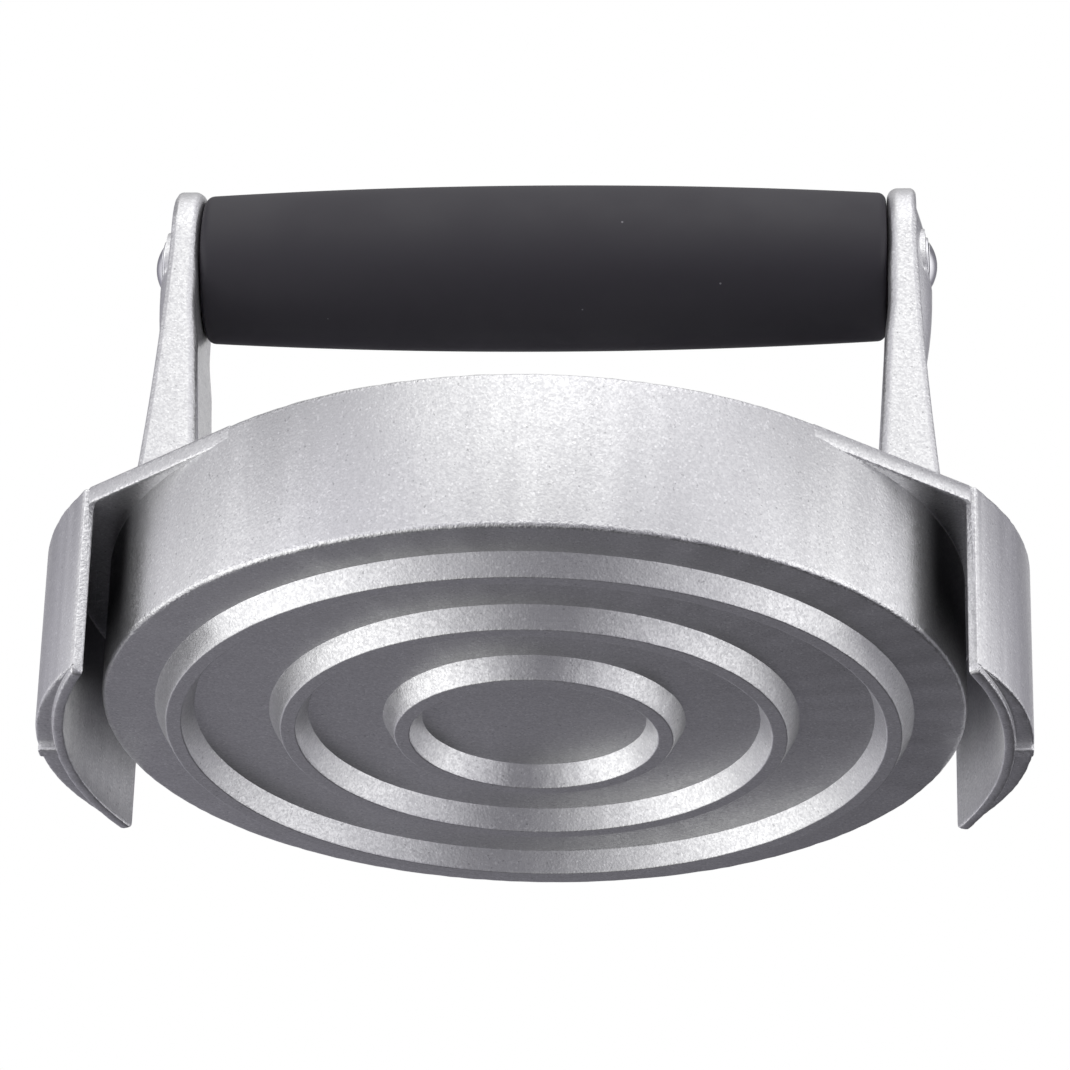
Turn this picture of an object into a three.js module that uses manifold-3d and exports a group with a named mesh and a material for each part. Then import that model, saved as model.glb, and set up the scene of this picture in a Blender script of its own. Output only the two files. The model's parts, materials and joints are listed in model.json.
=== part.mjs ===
import * as THREE from "three";
import { mergeVertices } from "three/addons/utils/BufferGeometryUtils.js";
import Module from "manifold-3d";

// A hand press for burger patties: one aluminium casting with a barrel grip between its two arms.
// Millimetres, +Z up. The press rests on the feet of its two guide wings, and the origin lies on
// that plane under the middle of the plate. X runs along the grip, and -Y is the front.

const degree = Math.PI / 180;

// Plate and pan: a round plate with an upright wall, open at the top.
const plateRadius = 55;
const footDrop = 4.9; // how far the wings reach below the plate
const panHeight = 20.5; // from the underside of the plate to the rim
const plateThickness = 3.2;
const rimWall = 2.6;
const wallTaper = 0.5; // the wall is this much thicker at the floor than at the rim
const panCornerRadius = 3;
const rimRound = 0.6;
const plateEdgeRound = 0.6;

// Ridges under the plate, concentric, with sloping sides.
const ridgeCount = 3;
const firstRidgeRadius = 16.8;
const ridgePitch = 14.5;
const ridgeHeight = 2.7;
const ridgeCrestWidth = 1.9;
const ridgeBaseWidth = 5;

// Guide wings, which run down outside the wall of a patty mould.
const slotWidth = 4.5; // between the pan wall and a wing
const guideWall = 1.5;
const guideBulge = 2.35; // extra thickness at the middle of a wing
const guideHalfAngle = 24.2 * degree;
const guideRecess = 0.8; // the bulge stops this far above the foot
const guideRibWidth = 2.2;
const shoulderRadius = 0.6;
const guideCornerRound = 0.6;
const flangeThickness = 2.4;
const flangeInset = 0.15; // the flange's edge starts this far inside the wing's outer face

// Arms, which stand on the pan floor and carry the grip.
const pinHeight = 66; // above the underside of the plate
const armSetback = 9.5; // from the plate's edge to an arm's inner face, at the pin
const armGap = 2 * (plateRadius - armSetback);
const armInnerLean = 2.4 * degree; // below the pin
const armPinThickness = 3.8;
const armFootThickness = 9.4; // at the rim
const armWaistGrowth = 0.7; // thickness gained at the bend of the outer face
const armBendShare = 0.52; // where the bend lies between rim and pin
const armHeadRadius = 9.5; // also half an arm's depth
const armHeadRise = 1.1; // the round top is centred this far above the pin
const armEdgeRound = 0.8;
const armRoot = 1; // how far an arm reaches into the plate
const bossHeight = 1.2; // the rivet's seat stands out this far from the arm
const bossPadRadius = 4.6; // the round pad under the seat
const bossCrown = 2.1; // height of the mound round the pad
const bossHalfWidth = 6;
const bossReachUp = 11.5; // from the mound's middle to its upper end
const bossReachDown = 15; // and to its lower end
const bossDrop = 2.4; // the mound's middle lies this far below the pin
const bossSink = 0.1; // how deep its foot lies under the arm's outer face
const seatClearance = 0.1; // radial, round the washer in its seat

// Grip: a rigid tube that turns on the axle, in a soft barrel-shaped sleeve.
const gripEndGap = 0.5; // to each arm, at the pin
const gripMiddleRadius = 11.1;
const gripEndRadius = 9.9;
const gripEndRound = 1.2;
const coreRadius = 8;
const coreProud = 0.15; // how far the tube stands out of the sleeve at each end
const coreBoreChamfer = 0.5;

// Axle and the dome-headed rivets pressed into its ends.
const axleRadius = 3;
const axleBoreRadius = 1.9;
const axleBoreDepth = 9;
const axleShort = 0.4; // each end stops this far inside the boss face
const washerRadius = 3.9;
const washerThickness = 0.4;
const washerBore = 2.1;
const rivetHeadRadius = 3.25;
const rivetBrim = 0.1;
const rivetDomeHeight = 1.1;
const rivetShankLength = 7;

// Clearances.
const runningClearance = 0.1; // radial, between turning pieces
const pressClearance = 0.05; // radial, where a pin sits in its bore
const seatGap = 0.05; // between faces that rest on each other
const overrun = 2; // how far a cutting solid passes the face it cuts

// Facets.
const panFacets = 96;
const wingFacets = 120;
const bulgeFacets = 96;
const gripFacets = 48;
const pinFacets = 32;
const arcSteps = 4;
const barrelSteps = 10;
const armSteps = 14;
const headSteps = 9;
const moundSteps = 5;
const moundCapShare = 0.2; // the share of the mound's size at which it is closed flat

// Places worked out from the sizes above.
const plateLevel = footDrop;
const floorLevel = plateLevel + plateThickness;
const rimLevel = plateLevel + panHeight;
const pinLevel = plateLevel + pinHeight;
const flangeLevel = rimLevel - flangeThickness;
const slotRadius = plateRadius + slotWidth;
const guideRadius = slotRadius + guideWall;
const bossFace = armGap / 2 + armPinThickness + bossHeight;
const gripHalf = armGap / 2 - gripEndGap;
const cutReach = 2 * plateRadius;

const wasm = await Module();
wasm.setup();

// Materials as they look in daylight.
const castAluminium = new THREE.MeshStandardMaterial({
  color: 0xb4b4b8,
  roughness: 0.45,
  metalness: 0.9,
});
const softBlack = new THREE.MeshStandardMaterial({
  color: 0x2c2a30,
  roughness: 0.6,
  metalness: 0,
});
const blackPlastic = new THREE.MeshStandardMaterial({
  color: 0x1d1d20,
  roughness: 0.5,
  metalness: 0,
});
const brightSteel = new THREE.MeshStandardMaterial({
  color: 0xc9cacc,
  roughness: 0.18,
  metalness: 1,
});
const plainSteel = new THREE.MeshStandardMaterial({
  color: 0x9a9b9d,
  roughness: 0.35,
  metalness: 1,
});

// A closed geometry as a solid that can be joined and cut.
function solidOf(geometry) {
  const bare = geometry.clone();
  bare.deleteAttribute("normal");
  bare.deleteAttribute("uv");
  const merged = mergeVertices(bare);
  return new wasm.Manifold(
    new wasm.Mesh({
      numProp: 3,
      vertProperties: new Float32Array(merged.attributes.position.array),
      triVerts: new Uint32Array(merged.index.array),
    }),
  );
}

// A solid as a geometry for a mesh.
function geometryOf(solid) {
  const mesh = solid.getMesh();
  const geometry = new THREE.BufferGeometry();
  geometry.setAttribute("position", new THREE.BufferAttribute(mesh.vertProperties, 3));
  geometry.setIndex(new THREE.BufferAttribute(mesh.triVerts, 1));
  geometry.computeVertexNormals();
  return geometry;
}

function meshOf(name, geometry, material) {
  const mesh = new THREE.Mesh(geometry, material);
  mesh.name = name;
  return mesh;
}

// A point of a turned profile: distance from the axis, place along it.
function at(radius, along) {
  return new THREE.Vector2(radius, along);
}

// The points of an arc of a profile, from one angle to another.
function arc(radius, along, size, from, to) {
  const points = [];
  for (let step = 0; step <= arcSteps; step += 1) {
    const angle = from + ((to - from) * step) / arcSteps;
    points.push(at(radius + size * Math.cos(angle), along + size * Math.sin(angle)));
  }
  return points;
}

// A profile turned about the Z axis.
function turnedUpright(profile, facets) {
  return new THREE.LatheGeometry(profile, facets).rotateX(90 * degree);
}

// A profile turned about the X axis, with the profile's own axis pointing along +X.
function turnedAlong(profile, facets) {
  return new THREE.LatheGeometry(profile, facets).rotateZ(-90 * degree);
}

// A flat outline raised from one level to another.
function prism(outline, low, high) {
  const geometry = new THREE.ExtrudeGeometry(new THREE.Shape(outline), {
    depth: high - low,
    bevelEnabled: false,
  });
  return geometry.translate(0, 0, low);
}

// A point of an outline at a distance and an angle from the middle of the plate.
function polar(radius, angle) {
  return new THREE.Vector2(radius * Math.cos(angle), radius * Math.sin(angle));
}

// The underside of the plate from the middle outwards, with its ridges.
function ridgeProfile() {
  const points = [at(0, plateLevel)];
  for (let ridge = 0; ridge < ridgeCount; ridge += 1) {
    const middle = firstRidgeRadius + ridge * ridgePitch;
    points.push(
      at(middle - ridgeBaseWidth / 2, plateLevel),
      at(middle - ridgeCrestWidth / 2, plateLevel - ridgeHeight),
      at(middle + ridgeCrestWidth / 2, plateLevel - ridgeHeight),
      at(middle + ridgeBaseWidth / 2, plateLevel),
    );
  }
  return points;
}

// The plate and its wall as a solid drum, before the pan is hollowed.
function drum() {
  const profile = [
    ...ridgeProfile(),
    ...arc(plateRadius - plateEdgeRound, plateLevel + plateEdgeRound, plateEdgeRound, -90 * degree, 0),
    ...arc(plateRadius - rimRound, rimLevel - rimRound, rimRound, 0, 90 * degree),
    at(0, rimLevel),
  ];
  return solidOf(turnedUpright(profile, panFacets));
}

// The inside of the pan, which also clears the flanges away above it.
function panHollow() {
  const rimInner = plateRadius - rimWall;
  const floorInner = rimInner - wallTaper;
  const profile = [
    at(0, floorLevel),
    ...arc(floorInner - panCornerRadius, floorLevel + panCornerRadius, panCornerRadius, -90 * degree, 0),
    at(rimInner, rimLevel - rimRound),
    at(rimInner + rimRound / 2, rimLevel),
    at(rimInner + rimRound / 2, rimLevel + overrun),
    at(0, rimLevel + overrun),
  ];
  return solidOf(turnedUpright(profile, panFacets));
}

// A drum with a rounded top edge, the outer form of a wing.
function roundedDrum(radius, round, facets) {
  const profile = [
    at(0, 0),
    at(radius, 0),
    ...arc(radius - round, rimLevel - round, round, 0, 90 * degree),
    at(0, rimLevel),
  ];
  return turnedUpright(profile, facets);
}

// The bulge of a wing is part of a smaller circle, which meets the wing's outer face at the
// wing's two ends and stands out by the full bulge at its middle.
function bulgeCircle() {
  const end = polar(guideRadius, guideHalfAngle);
  const crown = guideRadius + guideBulge;
  const rise = crown - end.x;
  const radius = (rise * rise + end.y * end.y) / (2 * rise);
  return { radius, centre: crown - radius };
}

// The bulge, with its recess above the foot and the rib that crosses the recess.
function bulge() {
  const { radius, centre } = bulgeCircle();
  const body = solidOf(roundedDrum(radius, shoulderRadius, bulgeFacets).translate(centre, 0, 0));
  const recess = solidOf(
    new THREE.CylinderGeometry(cutReach, cutReach, guideRecess + overrun, wingFacets)
      .rotateX(90 * degree)
      .translate(0, 0, guideRecess - (guideRecess + overrun) / 2),
  );
  const wall = solidOf(roundedDrum(guideRadius, guideCornerRound, wingFacets));
  const rib = solidOf(
    new THREE.BoxGeometry(cutReach, guideRibWidth, panHeight).translate(cutReach / 2, 0, 0),
  );
  return body.subtract(recess.subtract(wall).subtract(rib));
}

// One wing with the flange that carries it, on the +X side.
function guideWing() {
  const wall = solidOf(roundedDrum(guideRadius, guideCornerRound, wingFacets));
  const sector = solidOf(
    prism(
      [at(0, 0), polar(cutReach, -guideHalfAngle), polar(cutReach, guideHalfAngle)],
      -overrun,
      rimLevel + overrun,
    ),
  );
  const slot = solidOf(
    new THREE.CylinderGeometry(slotRadius, slotRadius, flangeLevel + overrun, wingFacets)
      .rotateX(90 * degree)
      .translate(0, 0, (flangeLevel - overrun) / 2),
  );
  return wall.add(bulge()).intersect(sector).subtract(slot);
}

// The flange on the +X side: its straight front and back edges run from the wing's ends and
// touch the round wall of the pan.
function flange() {
  const cornerRadius = guideRadius - flangeInset;
  const touch = guideHalfAngle + Math.acos(plateRadius / cornerRadius);
  const outline = [
    polar(plateRadius, -touch),
    polar(cornerRadius, -guideHalfAngle),
    polar(cornerRadius, guideHalfAngle),
    polar(plateRadius, touch),
  ];
  return solidOf(prism(outline, flangeLevel, rimLevel));
}

// The inner face of an arm leans outwards as it rises to the pin, and stands upright above it.
function armInnerAt(level) {
  return armGap / 2 - Math.max(0, pinLevel - level) * Math.tan(armInnerLean);
}

// The outer face runs in a curve from the thin head to the thick foot at the rim, and
// straight down from there into the pan.
const armOuterCurve = new THREE.QuadraticBezierCurve(
  at(armGap / 2 + armPinThickness, pinLevel),
  at(
    armGap / 2 + armPinThickness + armWaistGrowth,
    rimLevel + (pinLevel - rimLevel) * armBendShare,
  ),
  at(armInnerAt(rimLevel) + armFootThickness, rimLevel),
);

// One arm as a stack of level sections, each with rounded corners.
function arm() {
  const sections = [];
  const depth = armHeadRadius;
  const footLevel = floorLevel - armRoot;
  const foot = armOuterCurve.getPoint(1).x;
  sections.push({ level: footLevel, inner: armInnerAt(footLevel), outer: foot, depth });
  for (let step = armSteps; step >= 0; step -= 1) {
    const { x, y } = armOuterCurve.getPoint(step / armSteps);
    sections.push({ level: y, inner: armInnerAt(y), outer: x, depth });
  }
  const pinOuter = armOuterCurve.getPoint(0).x;
  const headMiddle = pinLevel + armHeadRise;
  for (let step = 0; step <= headSteps; step += 1) {
    const angle = (90 * degree * step) / headSteps;
    const level = headMiddle + armHeadRadius * Math.sin(angle);
    const crown = Math.max(0, level - (headMiddle + armHeadRadius - armEdgeRound));
    const inset = armEdgeRound - Math.sqrt(Math.max(0, armEdgeRound ** 2 - crown ** 2));
    sections.push({
      level,
      inner: armInnerAt(level) + inset,
      outer: pinOuter - inset,
      depth: Math.max(armHeadRadius * Math.cos(angle), armEdgeRound),
    });
  }
  return solidOf(stacked(sections.map(armSection)));
}

// The outline of one level section of an arm, anticlockwise seen from above.
function armSection({ level, inner, outer, depth }) {
  const round = armEdgeRound;
  const corners = [
    [outer - round, -depth + round, -90],
    [outer - round, depth - round, 0],
    [inner + round, depth - round, 90],
    [inner + round, -depth + round, 180],
  ];
  const ring = [];
  for (const [x, y, start] of corners) {
    for (let step = 0; step <= arcSteps; step += 1) {
      const angle = (start + (90 * step) / arcSteps) * degree;
      ring.push([x + round * Math.cos(angle), y + round * Math.sin(angle), level]);
    }
  }
  return ring;
}

// A closed surface through a stack of outlines, with a flat face at each end.
function stacked(rings) {
  const count = rings[0].length;
  const faces = [];
  for (let layer = 0; layer + 1 < rings.length; layer += 1) {
    for (let k = 0; k < count; k += 1) {
      const low = layer * count + k;
      const lowNext = layer * count + ((k + 1) % count);
      faces.push(low, lowNext, lowNext + count, low, lowNext + count, low + count);
    }
  }
  const top = (rings.length - 1) * count;
  for (let k = 1; k + 1 < count; k += 1) {
    faces.push(0, k + 1, k, top, top + k, top + k + 1);
  }
  const geometry = new THREE.BufferGeometry();
  geometry.setAttribute("position", new THREE.Float32BufferAttribute(rings.flat(2), 3));
  geometry.setIndex(faces);
  return geometry;
}

// The boss on the outer side of an arm's head: a mound that runs down the arm, rising with the
// square of the way in from its foot, and the round pad for the rivet.
function boss() {
  const rings = [bossRing(1, -armPinThickness / 2)];
  for (let step = 0; step <= moundSteps; step += 1) {
    const share = 1 - ((1 - moundCapShare) * step) / moundSteps;
    rings.push(bossRing(share, bossCrown * (1 - share ** 2)));
  }
  const root = bossFace - bossHeight - armPinThickness / 2;
  const profile = [
    at(0, root),
    at(bossPadRadius, root),
    at(bossPadRadius, bossFace),
    at(0, bossFace),
  ];
  const pad = turnedAlong(profile, gripFacets).translate(0, 0, pinLevel);
  return solidOf(stacked(rings)).add(solidOf(pad));
}

// An oval of points round the mound, anticlockwise seen from outside, at a share of its size
// and a height above the arm's outer face.
function bossRing(share, height) {
  const face = armGap / 2 + armPinThickness - bossSink;
  const slope = armWaistGrowth / ((pinLevel - rimLevel) * (1 - armBendShare));
  const ring = [];
  for (let facet = 0; facet < gripFacets; facet += 1) {
    const angle = (360 * degree * facet) / gripFacets;
    const reach = Math.sin(angle) > 0 ? bossReachUp : bossReachDown;
    const level = pinLevel - bossDrop + share * reach * Math.sin(angle);
    const foot = face + slope * Math.max(0, pinLevel - level);
    ring.push([foot + height, share * bossHalfWidth * Math.cos(angle), level]);
  }
  return ring;
}

// What is cut away above the rivet's seat on the +X side.
function rivetSeat() {
  const radius = washerRadius + seatClearance;
  const reach = bossFace + overrun;
  const profile = [at(0, bossFace), at(radius, bossFace), at(radius, reach), at(0, reach)];
  return solidOf(turnedAlong(profile, gripFacets).translate(0, 0, pinLevel));
}

// A round bar along X through both arms.
function axleBore() {
  const radius = axleRadius + pressClearance;
  const reach = bossFace + overrun;
  return solidOf(
    turnedAlong([at(0, -reach), at(radius, -reach), at(radius, reach), at(0, reach)], pinFacets)
      .translate(0, 0, pinLevel),
  );
}

// The casting: pan, ridges, flanges, wings and arms in one piece.
function pressCasting() {
  const side = flange().add(guideWing());
  const upright = arm().add(boss()).subtract(rivetSeat());
  const halfTurn = [0, 0, 180];
  const body = drum()
    .add(side)
    .add(side.rotate(halfTurn))
    .subtract(panHollow())
    .add(upright)
    .add(upright.rotate(halfTurn))
    .subtract(axleBore());
  return meshOf("press_casting", geometryOf(body), castAluminium);
}

// The soft sleeve, thickest in the middle.
function gripSleeve() {
  const bore = coreRadius + seatGap;
  const half = gripHalf - coreProud;
  const barrelHalf = half - gripEndRound;
  const outer = [];
  for (let step = 0; step <= barrelSteps; step += 1) {
    const along = -barrelHalf + (2 * barrelHalf * step) / barrelSteps;
    const fall = (along / barrelHalf) ** 2;
    outer.push(at(gripMiddleRadius - (gripMiddleRadius - gripEndRadius) * fall, along));
  }
  const rimRadius = gripEndRadius - gripEndRound;
  const profile = [
    at(bore, -half),
    ...arc(rimRadius, -barrelHalf, gripEndRound, -90 * degree, 0).slice(0, -1),
    ...outer,
    ...arc(rimRadius, barrelHalf, gripEndRound, 0, 90 * degree).slice(1),
    at(bore, half),
    at(bore, -half),
  ];
  return meshOf("grip_sleeve", turnedAlong(profile, gripFacets), softBlack);
}

// The rigid tube inside the sleeve, which turns on the axle.
function gripCore() {
  const bore = axleRadius + runningClearance;
  const mouth = bore + coreBoreChamfer;
  const profile = [
    at(mouth, -gripHalf),
    at(coreRadius, -gripHalf),
    at(coreRadius, gripHalf),
    at(mouth, gripHalf),
    at(bore, gripHalf - coreBoreChamfer),
    at(bore, coreBoreChamfer - gripHalf),
    at(mouth, -gripHalf),
  ];
  return meshOf("grip_core_tube", turnedAlong(profile, gripFacets), blackPlastic);
}

// The axle, held in both arms, with a blind bore in each end for a rivet.
function axle() {
  const half = bossFace - axleShort;
  const floor = half - axleBoreDepth;
  const profile = [
    at(0, -floor),
    at(axleBoreRadius, -floor),
    at(axleBoreRadius, -half),
    at(axleRadius, -half),
    at(axleRadius, half),
    at(axleBoreRadius, half),
    at(axleBoreRadius, floor),
    at(0, floor),
  ];
  return meshOf("handle_axle", turnedAlong(profile, pinFacets), plainSteel);
}

// The thin washer under a rivet's head.
function washer(name) {
  const low = bossFace + seatGap;
  const high = low + washerThickness;
  const profile = [
    at(washerBore, low),
    at(washerRadius, low),
    at(washerRadius, high),
    at(washerBore, high),
    at(washerBore, low),
  ];
  return meshOf(name, turnedAlong(profile, pinFacets), brightSteel);
}

// A rivet with a low domed head, its shank in the end of the axle.
function domeRivet(name) {
  const under = bossFace + washerThickness + 2 * seatGap;
  const shank = axleBoreRadius - pressClearance;
  const domeFoot = under + rivetBrim;
  const sphere = (rivetHeadRadius ** 2 + rivetDomeHeight ** 2) / (2 * rivetDomeHeight);
  const opening = Math.asin(rivetHeadRadius / sphere);
  const dome = arc(0, domeFoot + rivetDomeHeight - sphere, sphere, 90 * degree - opening, 90 * degree);
  const profile = [
    at(0, under - rivetShankLength),
    at(shank, under - rivetShankLength),
    at(shank, under),
    at(rivetHeadRadius, under),
    ...dome.slice(0, -1),
    at(0, domeFoot + rivetDomeHeight),
  ];
  return meshOf(name, turnedAlong(profile, pinFacets), brightSteel);
}

// The handle's pieces lie along the pin line; the fittings of the left end are those of the
// right end, turned half round.
function handle() {
  const group = new THREE.Group();
  const rightEnd = new THREE.Group();
  rightEnd.add(washer("right_washer"), domeRivet("right_dome_rivet"));
  const leftEnd = new THREE.Group();
  leftEnd.add(washer("left_washer"), domeRivet("left_dome_rivet"));
  leftEnd.rotation.z = 180 * degree;
  group.add(gripSleeve(), gripCore(), axle(), rightEnd, leftEnd);
  group.position.z = pinLevel;
  return group;
}

const burgerPress = new THREE.Group();
burgerPress.add(pressCasting(), handle());

export default burgerPress;
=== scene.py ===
"""Looks of a hand press for burger patties: a silver coated casting with a charcoal barrel grip."""

import json
import math
from functools import partialmethod

import bmesh
import bpy
from bpy.props import FloatProperty, FloatVectorProperty, IntProperty, PointerProperty
from mathutils import Matrix, noise, Vector


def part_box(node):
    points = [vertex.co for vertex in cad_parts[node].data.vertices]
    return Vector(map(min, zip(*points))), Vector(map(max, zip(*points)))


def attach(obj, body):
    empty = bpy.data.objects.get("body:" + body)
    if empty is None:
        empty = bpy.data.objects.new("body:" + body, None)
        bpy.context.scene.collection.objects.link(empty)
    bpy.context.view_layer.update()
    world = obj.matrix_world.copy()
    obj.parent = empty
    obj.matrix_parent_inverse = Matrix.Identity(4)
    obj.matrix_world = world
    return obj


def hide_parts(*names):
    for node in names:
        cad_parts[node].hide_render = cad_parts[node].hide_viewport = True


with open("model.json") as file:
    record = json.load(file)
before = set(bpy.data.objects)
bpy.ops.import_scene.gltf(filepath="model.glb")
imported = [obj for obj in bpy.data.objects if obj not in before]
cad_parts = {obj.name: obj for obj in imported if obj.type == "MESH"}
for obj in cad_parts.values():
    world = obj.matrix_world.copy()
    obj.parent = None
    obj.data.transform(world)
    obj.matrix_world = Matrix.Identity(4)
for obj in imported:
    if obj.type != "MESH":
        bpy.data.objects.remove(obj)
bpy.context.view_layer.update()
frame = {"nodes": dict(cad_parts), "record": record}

bl_info = {
    "name": "Burger press",
    "version": (1, 0, 0),
    "blender": (4, 5, 0),
    "location": "View3D > Sidebar > Press",
    "description": "Builds the pieces, finishes and studio of a hand press for burger patties",
    "category": "Object",
}

MM = 0.001
PIN = Vector(frame["record"]["behaviour"]["joints"][0]["pos_m"])
CASTING_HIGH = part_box("press_casting")[1]
WEAR = "edge_wear"  # the attribute that says where a piece is rubbed
SHARP = math.radians(40)  # edges that turn more than this stay sharp
SAME = 1e-7  # places nearer than this are one place
TINY = 1e-8  # a length under this is none
MOST = 0.49  # the share of a side that a rounded corner may take
PAN_FACETS, RIDGE_FACETS, GRIP_FACETS, SMALL_FACETS = 288, 280, 160, 96


# ---------------------------------------------------------------- sizes and colours


def length(name, text, millimetres):
    """A size that shows as a distance."""
    return FloatProperty(
        name=name,
        description=text,
        default=millimetres * MM,
        min=0.0,
        subtype="DISTANCE",
        unit="LENGTH",
        precision=5,
    )


def turn(name, text, degrees):
    """A size that shows as an angle."""
    angle = math.radians(degrees)
    return FloatProperty(
        name=name, description=text, default=angle, subtype="ANGLE", unit="ROTATION"
    )


def share(name, text, value):
    """A number from nought to one."""
    return FloatProperty(
        name=name, description=text, default=value, min=0, max=1, subtype="FACTOR"
    )


def colour(name, text, value):
    """A colour of a finish."""
    return FloatVectorProperty(
        name=name, description=text, default=value, size=3, min=0, max=1, subtype="COLOR"
    )


class PressSizes(bpy.types.PropertyGroup):
    """Sizes of the press, in metres."""

    plate_radius: length("Plate radius", "From the plate's middle to its edge", CASTING_HIGH.y / MM)
    plate_level: length("Plate level", "The underside of the plate above the feet", 4.9)
    plate_thickness: length("Plate thickness", "Thickness of the plate in the pan", 3.2)
    rim_level: length("Rim level", "The top of the pan's wall above the feet", 25.4)
    rim_wall: length("Rim wall", "Thickness of the wall at the rim", 2.6)
    wall_taper: length("Wall taper", "How much thicker the wall is at the floor", 0.5)
    edge_round: length("Edge round", "Rounding of the plate's lower edge and of the rim", 0.6)
    pan_corner: length("Pan corner", "Rounding between the pan's floor and its wall", 3.0)

    ridge_count: IntProperty(name="Ridges", description="Rings under the plate", default=3, min=1)
    first_ridge: length("First ridge", "Radius of the innermost ridge", 16.8)
    ridge_pitch: length("Ridge pitch", "From one ridge to the next", 14.5)
    ridge_height: length("Ridge height", "How far a ridge stands out", 2.7)
    ridge_crest: length("Ridge crest", "Width of the flat top of a ridge", 1.9)
    ridge_base: length("Ridge base", "Width of a ridge at the plate", 5.0)
    ridge_round: length("Ridge round", "Rounding of a ridge's edges", 0.2)
    ridge_wave: length("Ridge unevenness", "How far a cast ridge strays from its true form", 0.16)

    slot_radius: length("Slot radius", "Inner face of a guide wing", 59.5)
    guide_radius: length("Guide radius", "Outer face of a guide wing at its foot", 61.0)
    guide_bulge: length("Guide bulge", "Extra thickness in the middle of a wing", 2.35)
    guide_half: turn("Guide half angle", "Half the angle that a wing covers", 24.2)
    guide_recess: length("Guide recess", "The bulge stops this far above the foot", 0.8)
    rib_width: length("Rib width", "Width of the rib across the recess", 2.2)
    edge_waver: length("Edge waver", "How far worn cast corners are drawn in at most", 0.09)
    guide_tip: length("Guide tip", "Rounding of a wing's lower corners", 0.9)
    flange_level: length("Flange level", "Underside of the flange that carries a wing", 23.0)
    flange_inset: length("Flange inset", "The flange's corner lies this far inside the wing", 0.15)

    arm_gap: length("Arm gap", "Between the arms' inner faces at the pin", 91.0)
    arm_thickness: length("Arm thickness", "Thickness of an arm at the pin", 3.8)
    arm_foot: length("Arm foot", "Thickness of an arm at the rim", 9.74)
    arm_waist: length("Arm waist", "Thickness gained at the bend of the outer face", 0.7)
    arm_head: length("Arm head", "Radius of the round head, and half the depth of an arm", 9.5)
    arm_rise: length("Arm rise", "The round head is centred this far above the pin", 1.1)
    arm_round: length("Arm round", "Rounding of an arm's outer edges", 0.8)
    arm_inner_round: length("Arm inner round", "Rounding of an arm's inner edges", 1.4)
    arm_seat: length("Arm seat", "The inner face stands upright above this level", 62.0)
    arm_bend: length("Arm bend", "The inner face leans inwards below this level", 54.0)
    arm_step: length("Arm step", "How far the inner face comes in between the two", 0.65)
    arm_lean: turn("Arm lean", "Lean of the inner face below the bend", 3.2)
    boss_face: length("Boss face", "How far the rivet's seat stands out of the arm", 1.2)
    boss_seat: length("Boss seat", "Radius of the rivet's seat", 4.0)
    boss_pad: length("Boss pad", "Radius of the round pad under the seat", 4.6)
    boss_crown: length("Boss crown", "Height of the mound round the pad", 2.1)
    boss_wide: length("Boss width", "Half the width of the mound", 6.0)
    boss_up: length("Boss reach up", "From the mound's middle to its upper end", 11.5)
    boss_down: length("Boss reach down", "From the mound's middle to its lower end", 15.0)
    boss_drop: length("Boss drop", "The mound's middle lies this far below the pin", 2.4)

    rivet_head: length("Rivet head", "Radius of a rivet's dome", 3.25)
    rivet_rise: length("Rivet rise", "Height of a rivet's dome", 1.1)
    rivet_brim: length("Rivet brim", "Height of the edge under the dome", 0.1)
    washer_radius: length("Washer radius", "Radius of the washer under a rivet", 3.9)

    grip_middle: length("Grip middle", "Radius of the grip at its middle", 11.1)
    grip_end: length("Grip end", "Radius of the grip near its ends", 9.9)
    grip_half: length("Grip half length", "Half the length of the sleeve", 45.38)
    grip_round: length("Grip end round", "Rounding of the sleeve's ends", 1.2)
    grip_bore: length("Grip bore", "Radius of the bore for the core", 8.05)


class PressFinishes(bpy.types.PropertyGroup):
    """Colours and wear of the press."""

    coat: colour("Coat", "Silver coat of the casting", (0.77, 0.77, 0.775))
    coat_dark: colour("Coat, dark flakes", "Darkest flakes of the coat", (0.65, 0.65, 0.66))
    coat_light: colour("Coat, bright flakes", "Brightest flakes of the coat", (0.92, 0.92, 0.925))
    coat_speck: colour("Coat, dark specks", "Dark specks in the coat", (0.2, 0.2, 0.21))
    # Colour of the shade painted deep in the slots between the wall and the guide wings.
    painted_shade_tone: colour("Painted slot shade", "Shade painted deep in the slots", (0.17, 0.17, 0.18))
    coat_roughness: share("Coat roughness", "Roughness of the silver coat", 0.34)
    coat_wear: share("Coat wear", "How far the edges are rubbed bright", 0.45)
    grip: colour("Grip", "Charcoal of the grip", (0.0085, 0.0058, 0.0135))
    grip_roughness: share("Grip roughness", "Roughness of the grip", 0.6)
    grip_shine: share("Grip shine", "Strength of the grip's highlight", 0.74)
    dust: colour("Dust", "Pale specks on the grip", (0.26, 0.25, 0.27))
    core: colour("Core", "Black of the tube in the grip", (0.02, 0.02, 0.022))
    axle: colour("Axle", "Steel of the axle", (0.55, 0.55, 0.56))
    bright: colour("Bright steel", "Rivets and washers", (0.8, 0.8, 0.82))


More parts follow.
